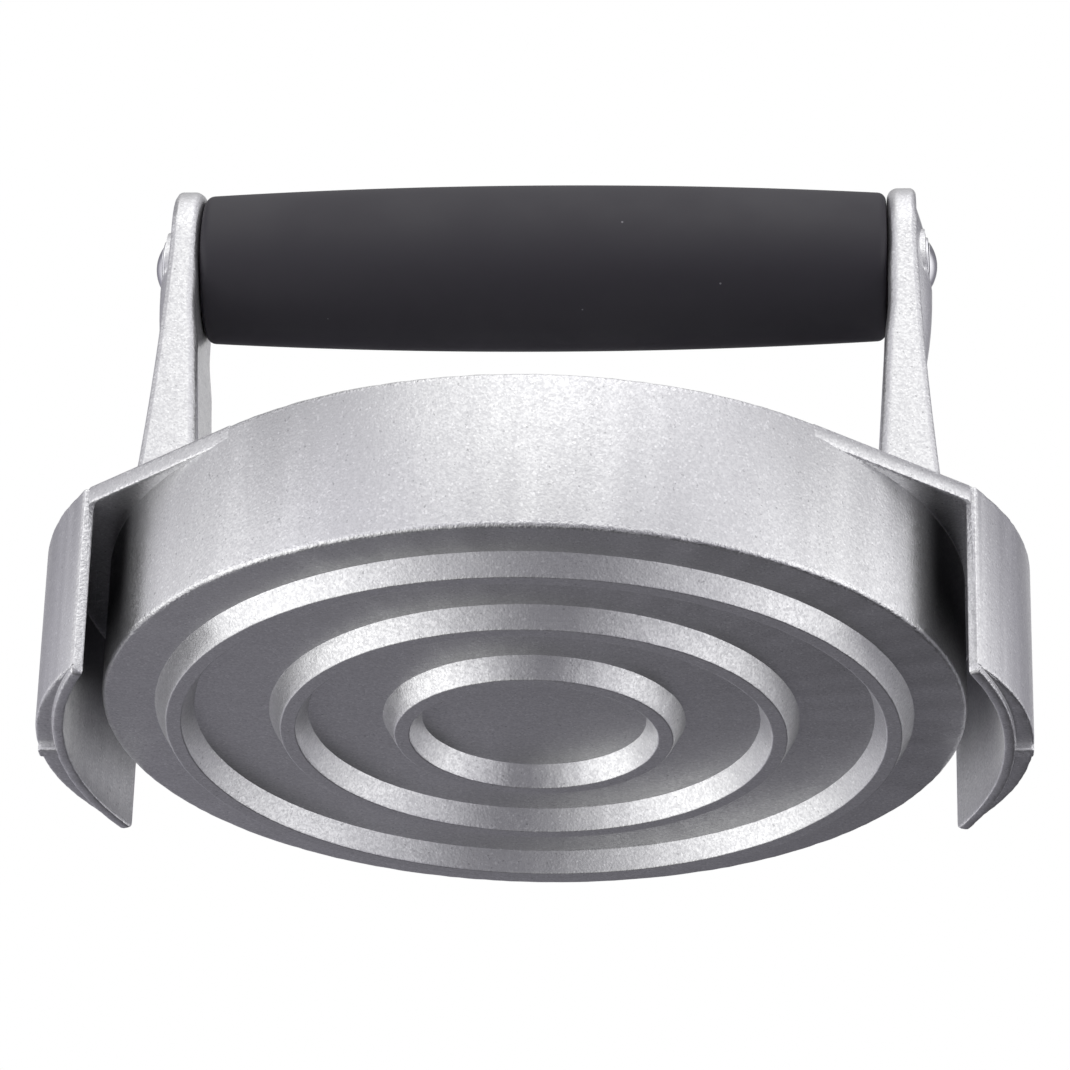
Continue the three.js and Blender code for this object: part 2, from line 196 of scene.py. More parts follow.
class PressStudio(bpy.types.PropertyGroup):
    """Where the camera stands, and how bright the studio is."""

    distance: length("Distance", "From the camera to the middle of the plate", 612.89)
    elevation: turn("Elevation", "The camera stands this far below the plate", -24.3)
    heading: turn("Heading", "The camera stands this far to the right of the front", 3.46)
    pan: turn("Pan", "Turn to the right from the plate's middle", math.degrees(-0.0008))
    tilt: turn("Tilt", "Turn upwards from the plate's middle", math.degrees(0.0383))
    roll: turn("Roll", "Roll of the camera", 1.43)
    lens: FloatProperty(
        name="Lens",
        description="Focal length on a 36 mm wide sensor",
        default=161.65,
        subtype="DISTANCE_CAMERA",
    )
    level: FloatProperty(
        name="Light", description="Level of the studio light", default=1.075, min=0
    )
    tint: colour("Light tint", "Colour of the studio's dim panels", (0.9, 0.875, 1.0))
    floor: colour("Floor", "Colour of the floor", (0.9, 0.9, 0.9))


# ---------------------------------------------------------------- outlines and meshes


def around(radius, angle):
    """The two coordinates of a place at a distance and an angle."""
    return radius * math.cos(angle), radius * math.sin(angle)


def rounding(soft, steps):
    """How far each step of a rounded edge lies inside the two faces that it joins."""
    angles = [math.pi / 2 * step / steps for step in range(steps + 1)]
    return [(soft * (1 - math.sin(a)), soft * (1 - math.cos(a))) for a in angles]


def rounded(corners, steps, hold=0.25 * MM):
    """Points along an outline with rounded corners, each with its wear.

    A corner is (x, y, radius) or (x, y, radius, wear). Every corner gives the same number of
    points, so that two outlines with the same corners can be joined.
    """
    points = []
    count = len(corners)
    for index, corner in enumerate(corners):
        here = Vector(corner[:2])
        before = Vector(corners[index - 1][:2]) - here
        after = Vector(corners[(index + 1) % count][:2]) - here
        radius = corner[2]
        wear = corner[3] if len(corner) > 3 else 1.0
        if radius <= 0 or before.length < TINY or after.length < TINY:
            points += [(here.x, here.y, 0.0)] * (steps + 3)
            continue
        half = before.angle(after) / 2
        reach = min(radius / math.tan(half), MOST * before.length, MOST * after.length)
        size = reach * math.tan(half)
        start = here + before.normalized() * reach
        end = here + after.normalized() * reach
        inwards = (before.normalized() + after.normalized()).normalized()
        centre = here + inwards * size / math.sin(half)
        first = start + before.normalized() * min(hold, 0.4 * (before.length / 2 - reach))
        last = end + after.normalized() * min(hold, 0.4 * (after.length / 2 - reach))
        points.append((first.x, first.y, 0.0))
        sweep = (start - centre).angle(end - centre)
        for step in range(steps + 1):
            part = step / steps
            a = math.sin((1 - part) * sweep) / math.sin(sweep) if sweep > 1e-6 else 1 - part
            b = math.sin(part * sweep) / math.sin(sweep) if sweep > 1e-6 else part
            spot = centre + (start - centre) * a + (end - centre) * b
            points.append((spot.x, spot.y, wear))
        points.append((last.x, last.y, 0.0))
    return points


def without_repeats(points):
    """The outline with points that fall on each other taken once."""
    kept = []
    for point in points:
        if not kept or (Vector(point[:2]) - Vector(kept[-1][:2])).length > SAME:
            kept.append(point)
    return kept


def lofted(rings, cap=True):
    """Vertices with wear, and faces, through rings of the same number of points."""
    count = len(rings[0])
    vertices = [point for ring in rings for point in ring]
    faces = []
    for layer in range(len(rings) - 1):
        low, high = layer * count, (layer + 1) * count
        for k in range(count):
            n = (k + 1) % count
            faces.append((low + k, low + n, high + n, high + k))
    if cap:
        last = (len(rings) - 1) * count
        faces.append(tuple(reversed(range(count))))
        faces.append(tuple(range(last, last + count)))
    return vertices, faces


def turned(profile, facets, closed=False):
    """A profile of (radius, level, wear) turned about the Z axis."""
    vertices, faces, rows = [], [], []
    for radius, level, wear in profile:
        if radius < SAME:
            rows.append([len(vertices)] * facets)
            vertices.append((0.0, 0.0, level, wear))
            continue
        rows.append([len(vertices) + k for k in range(facets)])
        for k in range(facets):
            angle = math.tau * k / facets
            vertices.append((*around(radius, angle), level, wear))
    pairs = list(zip(rows, rows[1:]))
    if closed:
        pairs.append((rows[-1], rows[0]))
    for low, high in pairs:
        for k in range(facets):
            n = (k + 1) % facets
            corners = []
            for vertex in (low[k], low[n], high[n], high[k]):
                if vertex not in corners:
                    corners.append(vertex)
            if len(corners) > 2:
                faces.append(tuple(corners))
    return vertices, faces


def joined(*parts):
    """Several lots of vertices and faces as one."""
    vertices, faces = [], []
    for some, theirs in parts:
        start = len(vertices)
        vertices += some
        faces += [tuple(start + v for v in face) for face in theirs]
    return vertices, faces


def half_turned(part):
    """The same form on the other side of the press."""
    vertices, faces = part
    return [(-x, -y, z, wear) for x, y, z, wear in vertices], faces


def along_pin(part):
    """A form turned about Z laid along +X on the pin's axis."""
    vertices, faces = part
    return [(z, x, y + PIN.z, wear) for x, y, z, wear in vertices], faces


def finish_mesh(mesh):
    """Merges doubles, turns faces outwards and shades the mesh."""
    work = bmesh.new()
    work.from_mesh(mesh)
    bmesh.ops.remove_doubles(work, verts=work.verts, dist=SAME)
    bmesh.ops.dissolve_degenerate(work, edges=work.edges, dist=TINY)
    bmesh.ops.recalc_face_normals(work, faces=work.faces)
    work.to_mesh(mesh)
    work.free()
    mesh.shade_smooth()
    mesh.set_sharp_from_angle(angle=SHARP)


def placed(name, mesh, material, body, slot, nodes):
    """A finished piece of the press, riding on its body in place of its CAD nodes."""
    finish_mesh(mesh)
    mesh.name = name
    mesh.materials.clear()
    mesh.materials.append(material)
    piece = bpy.data.objects.new(name, mesh)
    bpy.context.scene.collection.objects.link(piece)
    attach(piece, body)
    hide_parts(*nodes)
    return piece


def meshed(part):
    """Vertices with wear, and faces, as a mesh."""
    vertices, faces = part
    mesh = bpy.data.meshes.new("form")
    mesh.from_pydata([v[:3] for v in vertices], [], faces)
    wear = mesh.attributes.new(WEAR, "FLOAT", "POINT")
    wear.data.foreach_set("value", [v[3] for v in vertices])
    mesh.update()
    return mesh


def draw_in(mesh, depth, reach):
    """Cast corners are never quite true: worn ones are drawn in, by an uneven amount."""
    wear = [spot.value for spot in mesh.attributes[WEAR].data]
    ways = [vertex.normal.copy() for vertex in mesh.vertices]
    for vertex, way, worn in zip(mesh.vertices, ways, wear):
        if worn > 0:
            here = vertex.co / reach
            bite = 0.5 + 0.7 * noise.noise(here) + 0.3 * noise.noise(here * 2.3)
            vertex.co -= way * (depth * worn * min(max(bite, 0.0), 1.0))


def cast(name, part):
    """A piece of the casting."""
    coated = (cast_coat(), "press_body", "cast_aluminium", ["press_casting"])
    piece = placed(name, meshed(part), *coated)
    draw_in(piece.data, bpy.context.scene.press_sizes.edge_waver, 1.3 * MM)


# ---------------------------------------------------------------- node trees

SHADER, GEOMETRY = "ShaderNodeTree", "GeometryNodeTree"
VECTOR, COLOUR, FINISH = "NodeSocketVector", "NodeSocketColor", "NodeSocketMaterial"
# The socket for a whole number, for a number, and for a tuple of three or of four.
PLAIN = {int: "NodeSocketInt", float: "NodeSocketFloat", 3: VECTOR, 4: COLOUR}
RESULTS = {"VALUE": PLAIN[float], "RGBA": COLOUR, "GEOMETRY": "NodeSocketGeometry"}


class Number:
    """A number in a node tree. A sum on it adds the node that works it out."""

    def __init__(self, socket):
        self.socket = socket

    def calc(self, operation, *others, clamp=False):
        return sum_of(self.socket.id_data, operation, self, *others, clamp=clamp)

    def __rsub__(self, other):
        return sum_of(self.socket.id_data, "SUBTRACT", other, self)

    def __rtruediv__(self, other):
        return sum_of(self.socket.id_data, "DIVIDE", other, self)

    __add__ = partialmethod(calc, "ADD")
    __sub__ = partialmethod(calc, "SUBTRACT")
    __mul__ = partialmethod(calc, "MULTIPLY")
    __truediv__ = partialmethod(calc, "DIVIDE")
    __pow__ = partialmethod(calc, "POWER")
    __lt__ = partialmethod(calc, "LESS_THAN")
    __gt__ = partialmethod(calc, "GREATER_THAN")
    __abs__ = partialmethod(calc, "ABSOLUTE")
    __round__ = partialmethod(calc, "ROUND")


def plug(tree, socket, value):
    """Sets a socket to a value, or feeds it from the socket or number given."""
    value = getattr(value, "socket", value)
    if isinstance(value, bpy.types.NodeSocket):
        tree.links.new(value, socket)
    else:
        socket.default_value = value


def put(tree, kind, inputs=None, **settings):
    """Adds a node with its settings, and with its inputs by name or place."""
    node = tree.nodes.new(kind)
    for key, value in settings.items():
        setattr(node, key, value)
    for key, value in (inputs or {}).items():
        plug(tree, node.inputs[key], value)
    return node


def sum_of(tree, operation, *values, clamp=False):
    """The result of a sum on numbers."""
    inputs = dict(enumerate(values))
    node = put(tree, "ShaderNodeMath", inputs, operation=operation, use_clamp=clamp)
    return Number(node.outputs[0])


def by_name(sockets):
    """Sockets by their names, those with a number in them ready for sums."""
    return {s.name: Number(s) if s.type in {"VALUE", "INT"} else s for s in sockets if s.name}


def vector(tree, operation, *values):
    """The result of a sum on vectors."""
    node = put(tree, "ShaderNodeVectorMath", dict(enumerate(values)), operation=operation)
    return node.outputs[0]


def length_of(tree, x, y):
    """How far a place lies from the Z axis."""
    across = put(tree, "ShaderNodeCombineXYZ", {0: x, 1: y}).outputs[0]
    node = put(tree, "ShaderNodeVectorMath", {0: across}, operation="LENGTH")
    return Number(node.outputs["Value"])


def nearness(tree, way, towards):
    """How nearly two directions agree."""
    node = put(tree, "ShaderNodeVectorMath", {0: way, 1: towards}, operation="DOT_PRODUCT")
    return Number(node.outputs["Value"])


def split(tree, value, kind="XYZ"):
    """The three numbers of a vector or of a colour."""
    return [Number(s) for s in put(tree, "ShaderNodeSeparate" + kind, {0: value}).outputs]


def between(tree, value, low, high, start=0.0, end=1.0):
    """A number taken smoothly from one range to another, held at its ends."""
    inputs = {"Value": value, "From Min": low, "From Max": high, "To Min": start, "To Max": end}
    settings = {"interpolation_type": "SMOOTHSTEP", "clamp": True}
    return Number(put(tree, "ShaderNodeMapRange", inputs, **settings).outputs[0])


def noise_at(tree, place, scale, detail, roughness=0.5):
    """Noise about one half."""
    inputs = {"Vector": place, "Scale": scale, "Detail": detail, "Roughness": roughness}
    return Number(put(tree, "ShaderNodeTexNoise", inputs).outputs[0])


def blended(tree, factor, a, b, **settings):
    """A colour between two colours."""
    inputs = {0: factor, 6: a, 7: b}
    return put(tree, "ShaderNodeMix", inputs, data_type="RGBA", **settings).outputs[2]


def group(name, kind, inputs):
    """A new node group. An input is given by the value that it starts from, or by its kind."""
    tree = bpy.data.node_groups.new(name, kind)
    for label, value in inputs.items():
        shape = len(value) if isinstance(value, tuple) else type(value)
        socket = PLAIN.get(shape, value)
        made = tree.interface.new_socket(label, in_out="INPUT", socket_type=socket)
        if socket != value:
            made.default_value = value
    return tree, by_name(tree.nodes.new("NodeGroupInput").outputs)


def finished(tree, results):
    """The node group with its outputs."""
    for label, value in results.items():
        kind = RESULTS[getattr(value, "socket", value).type]
        tree.interface.new_socket(label, in_out="OUTPUT", socket_type=kind)
    put(tree, "NodeGroupOutput", results)
    return tree


def use(tree, shared, inputs):
    """Places a shader node group and gives its outputs by name."""
    return by_name(put(tree, "ShaderNodeGroup", inputs, node_tree=shared).outputs)


def once(build):
    """Builds a group or a material the first time it is asked for."""
    made = []

    def get():
        if not made:
            made.append(build())
        return made[0]

    return get


@once
def flake_grain():
    """Metal flakes in a coat, and the fine orange peel of its surface."""
    sizes = {"Flake Size": 0.3, "Peel Size": 0.6, "Cloud Size": 9.0}
    tree, given = group("flake_grain", SHADER, {"Place": VECTOR, **sizes})
    place, flake = given["Place"], 1.0 / given["Flake Size"]
    inputs = {"Vector": place, "Scale": flake}
    cells = put(tree, "ShaderNodeTexVoronoi", inputs, feature="F1")
    red, green, blue = split(tree, cells.outputs["Color"], "Color")
    patches = noise_at(tree, place, flake * 0.45, 3.0, 0.6)
    peel = noise_at(tree, place, 1.0 / given["Peel Size"], 2.0, 0.55)
    inputs = {"Vector": place, "Scale": flake * 0.8, "Smoothness": 0.6}
    pits = Number(put(tree, "ShaderNodeTexVoronoi", inputs, feature="SMOOTH_F1").outputs[0])
    results = {
        "Flakes": between(tree, red.calc("MULTIPLY_ADD", 0.45, patches * 0.55), 0.24, 0.76),
        "Sparkle": between(tree, green, 0.9, 0.99),
        "Specks": between(tree, blue, 0.955, 0.985) * between(tree, patches, 0.52, 0.4),
        "Height": pits.calc("MULTIPLY_ADD", 0.5, peel),
        "Clouds": noise_at(tree, place, 1.0 / given["Cloud Size"], 3.0),
    }
    return finished(tree, results)


@once
def edge_rub():
    """Where the edges of a piece are rubbed, broken up by patches, and the nubs on them."""
    inputs = {"Place": VECTOR, "Patch Size": 1.5, "Amount": 0.5}
    tree, given = group("edge_rub", SHADER, inputs)
    place, patch = given["Place"], given["Patch Size"]
    edge = Number(put(tree, "ShaderNodeAttribute", attribute_name=WEAR).outputs["Fac"])
    patches = noise_at(tree, place, 1.0 / patch, 4.0, 0.65)
    broken = between(tree, patches, 0.4, 0.62, 0.05, 1.0)
    rub = (edge * broken).calc("MULTIPLY", given["Amount"], clamp=True)
    nubs = (noise_at(tree, place, 2.2 / patch, 2.0) - 0.5) * edge
    return finished(tree, {"Rub": rub, "Nubs": nubs})


@once
def painted_slot_shade():
    """Shade painted into the coat deep in the slots between the wall and the guide wings.

    Its sizes are in millimetres, and the angle is in radians.
    """
    sizes = {"Wall Radius": 55.0, "Wing Radius": 59.5, "Half Angle": 0.42, "Roof": 23.0}
    tree, given = group("painted_slot_shade", SHADER, {"Place": VECTOR, **sizes})
    x, y, z = split(tree, given["Place"])
    radius = length_of(tree, x, y)
    aside = abs(y).calc("ARCTAN2", abs(x)) - given["Half Angle"]
    within = between(tree, aside, -0.05, 0.035, 1.0, 0.0)
    off_wall = between(tree, radius - given["Wall Radius"], -0.7, -0.2)
    off_wing = between(tree, radius - given["Wing Radius"], 0.05, 0.35, 1.0, 0.0)
    under = between(tree, z - given["Roof"], -0.5, -0.1, 1.0, 0.0)
    deep = under * between(tree, z, 4.0, 15.0)
    # How strongly the coat is darkened by painted shade in the slots.
    return finished(tree, {"Painted Shade": within * (off_wall * off_wing) * deep})


@once
def fine_lines():
    """Fine lines left by turning, at steady radii about the Z axis of Place."""
    inputs = {"Place": VECTOR, "Line Width": 0.25, "Along": 1.0}
    tree, given = group("fine_lines", SHADER, inputs)
    x, y, z = split(tree, given["Place"])
    inputs = {0: length_of(tree, x, y), 2: z * given["Along"]}
    spot = put(tree, "ShaderNodeCombineXYZ", inputs).outputs[0]
    lines = noise_at(tree, spot, 1.0 / given["Line Width"], 2.0, 0.6)
    return finished(tree, {"Lines": lines})


@once
def dust():
    """Scattered pale specks of dust."""
    inputs = {"Place": VECTOR, "Spacing": 2.0, "Speck Size": 0.15, "Share": 0.2}
    tree, given = group("dust", SHADER, inputs)
    inputs = {"Vector": given["Place"], "Scale": 1.0 / given["Spacing"]}
    cells = put(tree, "ShaderNodeTexVoronoi", inputs).outputs
    red, green, _ = split(tree, cells["Color"], "Color")
    near = Number(cells["Distance"]) < given["Speck Size"] * green / given["Spacing"]
    return finished(tree, {"Dust": near * (red < given["Share"])})


def material(name):
    """A new material, with its shader and the place on the object in millimetres."""
    made = bpy.data.materials.new(name)
    made.use_nodes = True
    tree = made.node_tree
    place = put(tree, "ShaderNodeTexCoord").outputs["Object"]
    scaled = put(tree, "ShaderNodeMapping", {"Vector": place, "Scale": (1 / MM, 1 / MM, 1 / MM)})
    return made, tree, tree.nodes["Principled BSDF"], scaled.outputs[0]


def feed(tree, shader, **sockets):
    """Feeds the shader's sockets, named with underscores for spaces."""
    for key, value in sockets.items():
        plug(tree, shader.inputs[key.replace("_", " ")], value)


def solid(value, light=1.0):
    """A colour with full cover, or a share of its brightness."""
    return (*(light * part for part in value), 1.0)


def bump(tree, height, depth, **under):
    """A normal from a height. Depth is in millimetres."""
    inputs = {"Height": height, "Distance": depth * MM, "Strength": 1.0, **under}
    return put(tree, "ShaderNodeBump", inputs).outputs[0]


@once
def cast_coat():
    """Silver coat of the casting, with metal flakes in it, rubbed edges and shade painted deep in
    its slots.
    """
    look, size = bpy.context.scene.press_finishes, bpy.context.scene.press_sizes
    made, tree, shader, place = material("silver_coat")
    sizes = {"Flake Size": 0.24, "Peel Size": 0.4, "Cloud Size": 8.0}
    grain = use(tree, flake_grain(), {"Place": place, **sizes})
    edge = use(tree, edge_rub(), {"Place": place, "Patch Size": 0.9, "Amount": look.coat_wear})
    lines = use(tree, fine_lines(), {"Place": place, "Line Width": 0.5, "Along": 0.6})
    slots = {
        "Place": place,
        "Wall Radius": size.plate_radius / MM,
        "Wing Radius": size.slot_radius / MM,
        "Half Angle": size.guide_half,
        "Roof": size.flange_level / MM,
    }
    dark, bright = solid(look.coat_dark), solid(look.coat_light)
    base = blended(tree, grain["Flakes"], dark, solid(look.coat))
    base = blended(tree, grain["Sparkle"] * 0.8, base, bright)
    base = blended(tree, grain["Specks"] * 0.45, base, solid(look.coat_speck))
    base = blended(tree, between(tree, grain["Clouds"], 0.35, 0.65, 0.0, 0.12), base, dark)
    base = blended(tree, edge["Rub"], base, bright)
    # Shade painted into the coat deep in the slots.
    base = blended(tree, use(tree, painted_slot_shade(), slots)["Painted Shade"], base, solid(look.painted_shade_tone))
    dull, shiny = look.coat_roughness + 0.06, look.coat_roughness - 0.04
    rough = between(tree, grain["Flakes"], 0, 1, dull, shiny)
    feed(tree, shader, Base_Color=base, Metallic=0.95, Roughness=rough)
    normal = bump(tree, lines["Lines"], 0.006)
    normal = bump(tree, edge["Nubs"], 0.13, Normal=normal)
    feed(tree, shader, Normal=bump(tree, grain["Height"], 0.023, Normal=normal))
    return made


@once
def soft_grip():
    """Smooth charcoal of the grip, satin, with a little dust."""
    look = bpy.context.scene.press_finishes
    made, tree, shader, place = material("charcoal_grip")
    sizes = {"Flake Size": 0.25, "Peel Size": 0.3, "Cloud Size": 14.0}
    grain = use(tree, flake_grain(), {"Place": place, **sizes})
    sizes = {"Spacing": 2.6, "Speck Size": 0.2, "Share": 0.16}
    specks = use(tree, dust(), {"Place": place, **sizes})
    body = blended(tree, grain["Clouds"], solid(look.grip, 0.85), solid(look.grip))
    body = blended(tree, specks["Dust"] * 0.7, body, solid(look.dust))
    shiny, dull = look.grip_roughness - 0.03, look.grip_roughness + 0.04
    rough = between(tree, grain["Clouds"], 0.3, 0.7, shiny, dull)
    feed(tree, shader, Base_Color=body, Roughness=rough, Metallic=0.0)
    feed(tree, shader, Specular_IOR_Level=look.grip_shine)
    feed(tree, shader, Normal=bump(tree, grain["Height"], 0.003))
    return made


@once
def moulded_core():
    """Black moulded plastic of the tube in the grip."""
    look = bpy.context.scene.press_finishes
    made, tree, shader, place = material("moulded_core")
    sizes = {"Flake Size": 0.2, "Peel Size": 0.25, "Cloud Size": 6.0}
    grain = use(tree, flake_grain(), {"Place": place, **sizes})
    base = blended(tree, grain["Clouds"], solid(look.core), solid(look.core, 1.5))
    feed(tree, shader, Base_Color=base, Metallic=0.0)
    feed(tree, shader, Roughness=between(tree, grain["Flakes"], 0, 1, 0.42, 0.52))
    feed(tree, shader, Normal=bump(tree, grain["Height"], 0.01))
    return made


def lathed_steel(name, tint, roughness, depth):
    """Turned steel about the pin's axis, with fine lines round it."""
    made, tree, shader, place = material(name)
    centred = {"Vector": place, "Location": (0, 0, -PIN.z / MM)}
    centred = put(tree, "ShaderNodeMapping", centred).outputs[0]
    upright = {"Vector": centred, "Rotation": (0, -math.pi / 2, 0)}
    upright = put(tree, "ShaderNodeMapping", upright).outputs[0]
    lines = use(tree, fine_lines(), {"Place": upright, "Line Width": 0.12, "Along": 1.0})
    sizes = {"Flake Size": 0.2, "Peel Size": 0.5, "Cloud Size": 3.0}
    grain = use(tree, flake_grain(), {"Place": place, **sizes})
    base = blended(tree, lines["Lines"], solid(tint, 0.86), solid(tint))
    rough = between(tree, grain["Clouds"], 0.3, 0.7, roughness * 0.8, roughness * 1.25)
    feed(tree, shader, Base_Color=base, Metallic=1.0, Roughness=rough)
    feed(tree, shader, Normal=bump(tree, lines["Lines"], depth))
    return made


@once
def bright_steel():
    """Polished steel of the rivets and washers."""
    return lathed_steel("bright_steel", bpy.context.scene.press_finishes.bright, 0.14, 0.0015)


@once
def turned_axle():
    """Turned steel of the axle."""
    return lathed_steel("turned_axle", bpy.context.scene.press_finishes.axle, 0.3, 0.006)


# ---------------------------------------------------------------- geometry node trees


def painted(tree, mesh, finish):
    """The group with its mesh made real and given its finish."""
    real = put(tree, "GeometryNodeRealizeInstances", {0: mesh}).outputs[0]
    node = put(tree, "GeometryNodeSetMaterial", {0: real, "Material": finish})
    return finished(tree, {"Geometry": node.outputs[0]})


@once
def ridge_rings():
    """Rings with a sloping outline, one after the other from the middle outwards."""
    inputs = {
        "Count": 3,
        "Facets": 192,
        "First Radius": 0.0168,
        "Pitch": 0.0145,
        "Height": 0.0027,
        "Crest Width": 0.0019,
        "Base Width": 0.005,
        "Round": 0.0004,
        "Sink": 0.001,
        "Unevenness": 0.0001,
        "Plate Level": 0.0049,
        "Finish": FINISH,
    }
    tree, given = group("ridge_rings", GEOMETRY, inputs)
    height, sink, crest = given["Height"], given["Sink"], given["Crest Width"]
    level, base = given["Plate Level"], given["Base Width"]
    start = tree.nodes.new("GeometryNodeRepeatInput")
    stop = tree.nodes.new("GeometryNodeRepeatOutput")
    start.pair_with_output(stop)
    plug(tree, start.inputs["Iterations"], given["Count"])
    radius = given["First Radius"] + Number(start.outputs["Iteration"]) * given["Pitch"]
    inputs = {"Resolution": given["Facets"], "Radius": radius}
    path = put(tree, "GeometryNodeCurvePrimitiveCircle", inputs)

    slope = (base - crest) / height
    foot = slope.calc("MULTIPLY_ADD", sink, base)
    inputs = {"Height": height + sink, "Bottom Width": foot, "Top Width": crest, "Offset": 0.0}
    outline = put(tree, "GeometryNodeCurvePrimitiveQuadrilateral", inputs, mode="TRAPEZOID")
    inputs = {"Curve": outline.outputs[0], "Cuts": 9}
    finer = put(tree, "GeometryNodeSubdivideCurve", inputs)
    rounds = {"Count": 3, "Radius": given["Round"], "Limit Radius": True}
    inputs = {"Curve": finer.outputs[0], **rounds}
    soft = put(tree, "GeometryNodeFilletCurve", inputs, mode="POLY")
    inputs = {"Curve": path.outputs[0], "Profile Curve": soft.outputs[0]}
    swept = put(tree, "GeometryNodeCurveToMesh", inputs)

    drop = (sink - height).calc("MULTIPLY_ADD", 0.5, level)
    here = tree.nodes.new("GeometryNodeInputPosition").outputs[0]
    inputs = {"Vector": here, "Scale": 420.0, "Detail": 3.0}
    waves = put(tree, "ShaderNodeTexNoise", inputs).outputs["Color"]
    centred = vector(tree, "SUBTRACT", waves, (0.5, 0.5, 0.5))
    inputs = {0: centred, "Scale": given["Unevenness"]}
    uneven = put(tree, "ShaderNodeVectorMath", inputs, operation="SCALE").outputs[0]
    flatter = vector(tree, "MULTIPLY", uneven, (1, 1, 0.25))
    lowering = put(tree, "ShaderNodeCombineXYZ", {2: drop}).outputs[0]
    inputs = {"Geometry": swept.outputs[0], "Offset": vector(tree, "ADD", flatter, lowering)}
    lowered = put(tree, "GeometryNodeSetPosition", inputs)

    x, y, z = split(tree, tree.nodes.new("GeometryNodeInputPosition").outputs[0])
    aside = abs(length_of(tree, x, y) - radius) - crest * 0.5
    above = z - (level - height)
    apart = (aside**2.0 + above**2.0).calc("SQRT")
    wear = between(tree, apart, 0.00012, 0.0003, 0.5, 0.0)
    inputs = {"Geometry": lowered.outputs[0], "Name": WEAR, "Value": wear}
    marked = put(tree, "GeometryNodeStoreNamedAttribute", inputs)
    added = tree.nodes.new("GeometryNodeJoinGeometry")
    tree.links.new(start.outputs["Geometry"], added.inputs[0])
    tree.links.new(marked.outputs[0], added.inputs[0])
    tree.links.new(added.outputs[0], stop.inputs["Geometry"])
    return painted(tree, stop.outputs["Geometry"], given["Finish"])


@once
def barrel_form():
    """A sleeve along X whose radius falls with the square of the way from its middle."""
    inputs = {
        "Rings": 96,
        "Facets": 128,
        "Half Length": 0.04475,
        "Middle Radius": 0.0111,
        "End Radius": 0.0099,
        "End Round": 0.0012,
        "Bore Radius": 0.00805,
        "Pin Level": 0.0709,
        "Finish": FINISH,
    }
    tree, given = group("barrel_form", GEOMETRY, inputs)
    rings, half, soft = given["Rings"], given["Half Length"], given["End Round"]
    size = {"Size X": 1.0, "Size Y": 1.0}
    counts = {"Vertices X": given["Facets"] + 1.0, "Vertices Y": rings + 4.0}
    grid = put(tree, "GeometryNodeMeshGrid", {**size, **counts})
    x, y, _ = split(tree, tree.nodes.new("GeometryNodeInputPosition").outputs[0])
    angle = (x + 0.5) * math.tau
    # The first row and the last two lie in the bore, and the rows between them outside.
    row = round((y + 0.5) * (rings + 3.0))
    part = (row - 1.0).calc("DIVIDE", rings, clamp=True)
    wave = ((part - 0.5) * math.pi).calc("SINE")
    back = row > rings + 2.5
    along = back.calc("MULTIPLY_ADD", -2.0, wave) * half
    far, barrel = abs(along), half - soft
    fall = far.calc("DIVIDE", barrel, clamp=True) ** 2.0
    plain = given["Middle Radius"] - (given["Middle Radius"] - given["End Radius"]) * fall
    past = (far - barrel).calc("MAXIMUM", 0.0)
    rise = (soft**2.0 - past**2.0).calc("MAXIMUM", 0.0)
    outer = plain - (soft - rise.calc("SQRT"))
    inside = (row < 0.5).calc("MAXIMUM", row > rings + 1.5)
    radius = outer + (given["Bore Radius"] - outer) * inside
    up = radius.calc("MULTIPLY_ADD", angle.calc("SINE"), given["Pin Level"])
    goal = {0: along, 1: radius * angle.calc("COSINE"), 2: up}
    goal = put(tree, "ShaderNodeCombineXYZ", goal).outputs[0]
    inputs = {"Geometry": grid.outputs[0], "Position": goal}
    formed = put(tree, "GeometryNodeSetPosition", inputs)
    inputs = {"Geometry": formed.outputs[0], "Distance": 1e-6}
    closed = put(tree, "GeometryNodeMergeByDistance", inputs)
    return painted(tree, closed.outputs[0], given["Finish"])


def grown(tree, values):
    """The mesh that a geometry tree gives for these inputs, named as on its interface."""
    seed = bpy.data.objects.new("seed", bpy.data.meshes.new("seed"))
    bpy.context.scene.collection.objects.link(seed)
    modifier = seed.modifiers.new("form", "NODES")
    modifier.node_group = tree
    for item in tree.interface.items_tree:
        if item.item_type == "SOCKET" and item.in_out == "INPUT":
            modifier[item.identifier] = values[item.name]
    seed.update_tag()
    ready = seed.evaluated_get(bpy.context.evaluated_depsgraph_get())
    mesh = bpy.data.meshes.new_from_object(ready)
    seed.modifiers.clear()
    bpy.data.objects.remove(seed)
    return mesh


# ---------------------------------------------------------------- forms of the casting


def pan_form(size):
    """The plate and its upright wall, open at the top."""
    inner = size.plate_radius - size.rim_wall
    floor = size.plate_level + size.plate_thickness
    corners = [
        (0, size.plate_level, 0),
        (size.plate_radius, size.plate_level, size.edge_round),
        (size.plate_radius, size.rim_level, size.edge_round),
        (inner, size.rim_level, size.edge_round),
        (inner - size.wall_taper, floor, size.pan_corner, 0),
        (0, floor, 0),
    ]
    return turned(without_repeats(rounded(corners, steps=8)), PAN_FACETS)


def bulge_radius(size, angle):
    """Distance from the plate's middle to a wing's outer face, in one direction."""
    end_x, end_y = around(size.guide_radius, size.guide_half)
    crown = size.guide_radius + size.guide_bulge
    rise = crown - end_x
    radius = (rise * rise + end_y * end_y) / (2 * rise)
    centre = crown - radius
    return centre * math.cos(angle) + math.sqrt(radius**2 - (centre * math.sin(angle)) ** 2)


